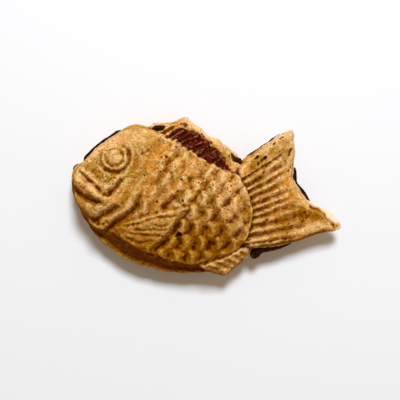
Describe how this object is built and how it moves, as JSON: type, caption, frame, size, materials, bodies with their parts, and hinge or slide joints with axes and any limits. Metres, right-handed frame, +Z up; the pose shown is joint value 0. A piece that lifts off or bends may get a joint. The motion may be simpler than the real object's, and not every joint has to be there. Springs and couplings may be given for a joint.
{
  "type": "taiyaki",
  "caption": "Fish-shaped cake lying on its side: browned crust with eye, gill, scales, fins and rayed tail, baked round sweet red bean paste that shows along the seam.",
  "frame": {"origin": "middle of the fish's outline as seen from above, on the surface that it lies on", "axes": "+X towards the tail, +Y towards the back fin, +Z up out of the fish's upper side"},
  "size_m": [0.1345, 0.0799, 0.0288],
  "materials": {
    "crust": "baked, matt to satin, browned",
    "bean_paste": "moist, glossy"
  },
  "bodies": {
    "root": {"crust": "crust", "bean_paste": "bean_paste"}
  },
  "joints": []
}
